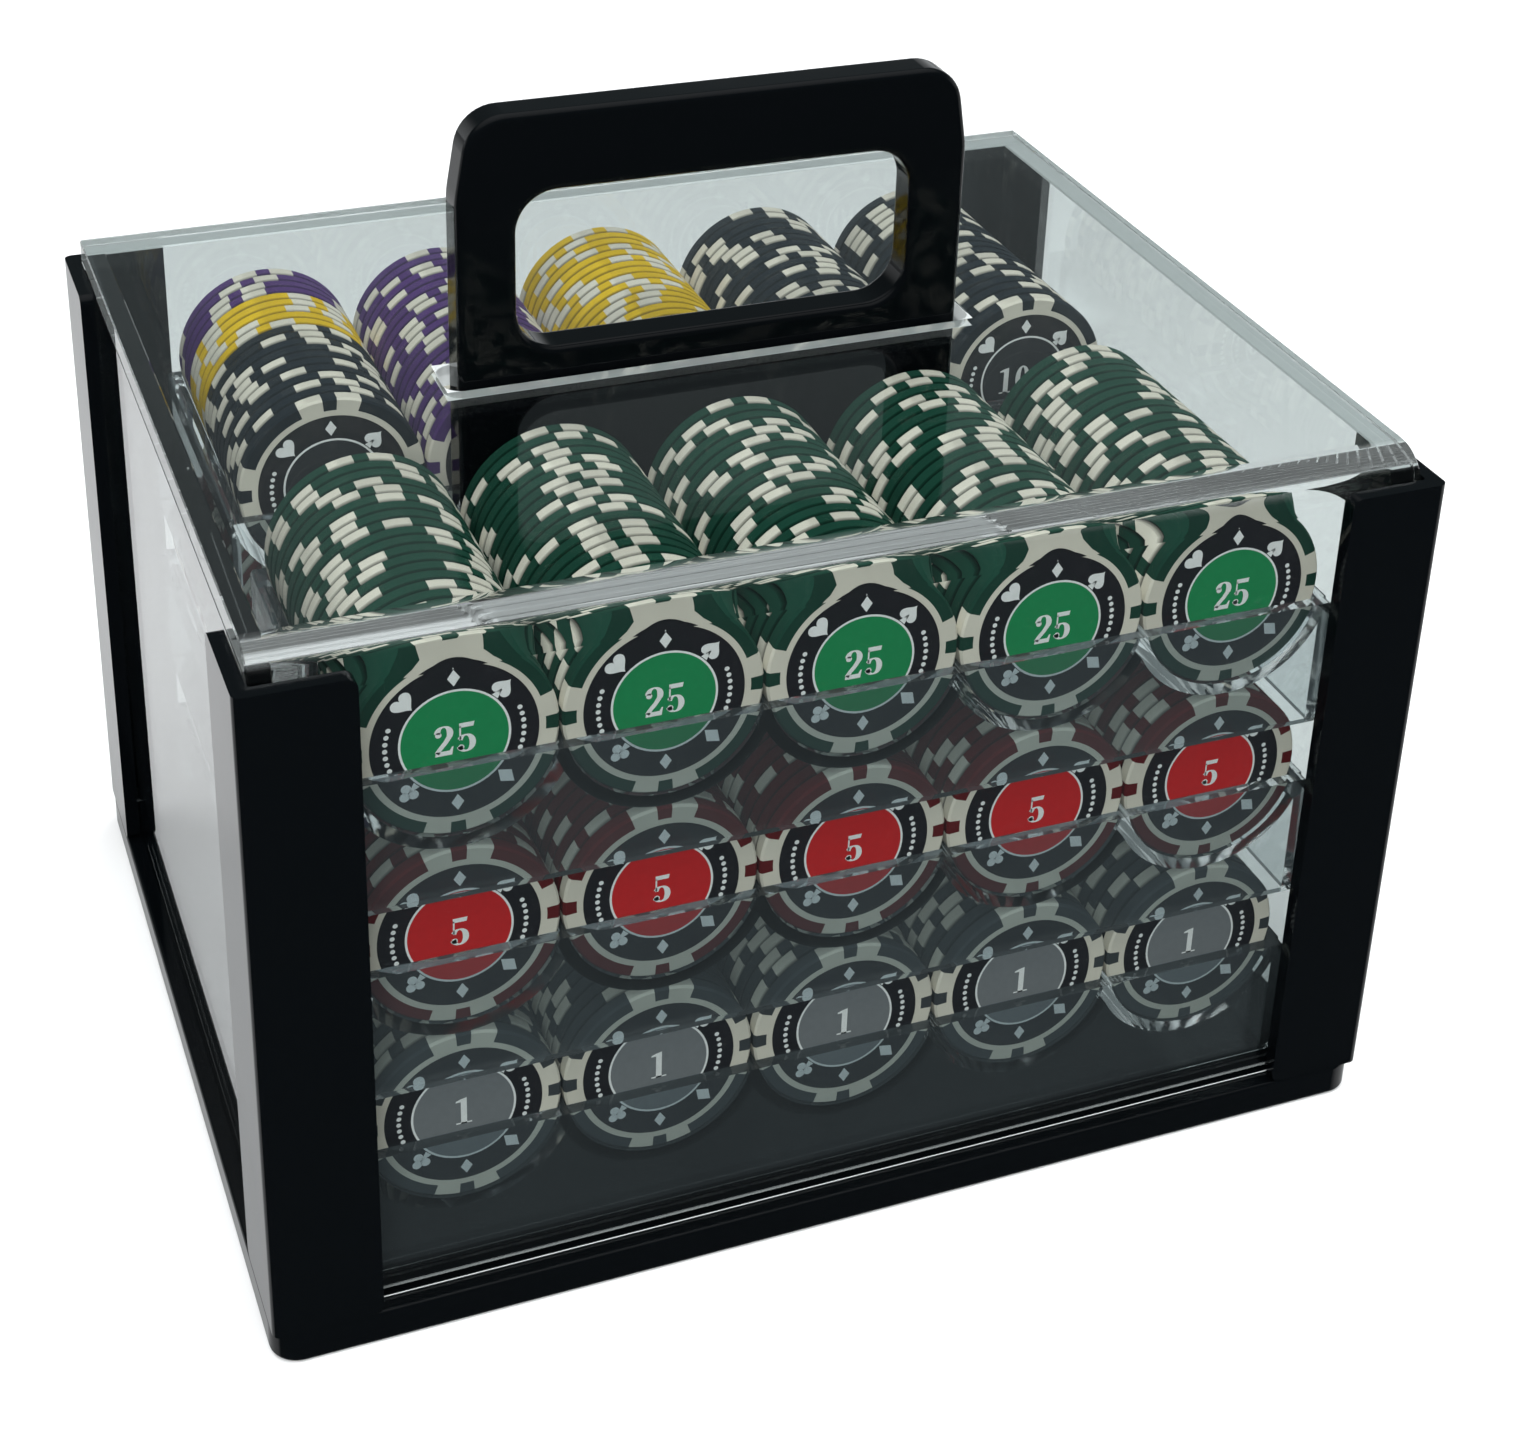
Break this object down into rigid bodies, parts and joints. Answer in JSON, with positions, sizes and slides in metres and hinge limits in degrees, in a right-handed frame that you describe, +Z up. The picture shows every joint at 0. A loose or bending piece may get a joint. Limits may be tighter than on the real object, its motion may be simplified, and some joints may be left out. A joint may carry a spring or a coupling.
{
  "type": "poker chip case",
  "caption": "Clear-covered table carrier for poker chips, with a black base, corner posts, a fixed upright handle and loaded clear chip racks; the cover lifts off over the handle.",
  "frame": {"origin": "centre of the base plate's underside, on the surface the case rests on", "axes": "+Z up; +X to the right along the width, seen from the front; the front, with the full view of the chip racks, faces -Y"},
  "size_m": [0.245, 0.195, 0.2185],
  "materials": {
    "black_acrylic": "polished black acrylic",
    "clear_acrylic": "polished clear acrylic sheet",
    "rack_clear": "clear moulded plastic",
    "screw_steel": "zinc-plated steel",
    "chip_green": "matt clay composite with cream inserts",
    "chip_red": "matt clay composite with cream inserts",
    "chip_grey": "matt clay composite with cream inserts",
    "chip_purple": "matt clay composite with cream inserts",
    "chip_yellow": "matt clay composite with cream inserts",
    "chip_black": "matt clay composite with cream inserts"
  },
  "bodies": {
    "case": {"base_plate": "black_acrylic", "deck_plate": "black_acrylic", "post_front_left": "black_acrylic", "post_front_right": "black_acrylic", "post_rear_left": "black_acrylic", "post_rear_right": "black_acrylic", "handle_plate": "black_acrylic", "handle_screws": "screw_steel"},
    "cover": {"cover_shell": "clear_acrylic", "cover_rear": "clear_acrylic", "cover_left": "clear_acrylic", "cover_right": "clear_acrylic"},
    "rack_front_top": {"rack_front_top": "rack_clear", "chips_front_top_green": "chip_green"},
    "rack_front_middle": {"rack_front_middle": "rack_clear", "chips_front_middle_red": "chip_red"},
    "rack_front_bottom": {"rack_front_bottom": "rack_clear", "chips_front_bottom_grey": "chip_grey"},
    "rack_rear_top": {"rack_rear_top": "rack_clear", "chips_rear_top_black": "chip_black", "chips_rear_top_yellow": "chip_yellow", "chips_rear_top_purple": "chip_purple"},
    "rack_rear_middle": {"rack_rear_middle": "rack_clear", "chips_rear_middle_red": "chip_red"},
    "rack_rear_bottom": {"rack_rear_bottom": "rack_clear", "chips_rear_bottom_grey": "chip_grey"}
  },
  "joints": [
    {"name": "cover_lift", "type": "slide", "parent": "case", "child": "cover", "axis": [0, 0, 1], "range_m": [0, 0.6]},
    {"name": "rack_front_top_lift", "type": "slide", "parent": "case", "child": "rack_front_top", "axis": [0, 0, 1], "range_m": [0, 0.45]},
    {"name": "rack_front_middle_lift", "type": "slide", "parent": "case", "child": "rack_front_middle", "axis": [0, 0, 1], "range_m": [0, 0.3]},
    {"name": "rack_front_bottom_lift", "type": "slide", "parent": "case", "child": "rack_front_bottom", "axis": [0, 0, 1], "range_m": [0, 0.15]},
    {"name": "rack_rear_top_lift", "type": "slide", "parent": "case", "child": "rack_rear_top", "axis": [0, 0, 1], "range_m": [0, 0.45]},
    {"name": "rack_rear_middle_lift", "type": "slide", "parent": "case", "child": "rack_rear_middle", "axis": [0, 0, 1], "range_m": [0, 0.3]},
    {"name": "rack_rear_bottom_lift", "type": "slide", "parent": "case", "child": "rack_rear_bottom", "axis": [0, 0, 1], "range_m": [0, 0.15]}
  ],
  "couplings": [
    {"joint": "rack_front_top_lift", "follows": "cover_lift", "ratio": 0.75},
    {"joint": "rack_front_middle_lift", "follows": "cover_lift", "ratio": 0.5},
    {"joint": "rack_front_bottom_lift", "follows": "cover_lift", "ratio": 0.25},
    {"joint": "rack_rear_top_lift", "follows": "cover_lift", "ratio": 0.75},
    {"joint": "rack_rear_middle_lift", "follows": "cover_lift", "ratio": 0.5},
    {"joint": "rack_rear_bottom_lift", "follows": "cover_lift", "ratio": 0.25}
  ]
}
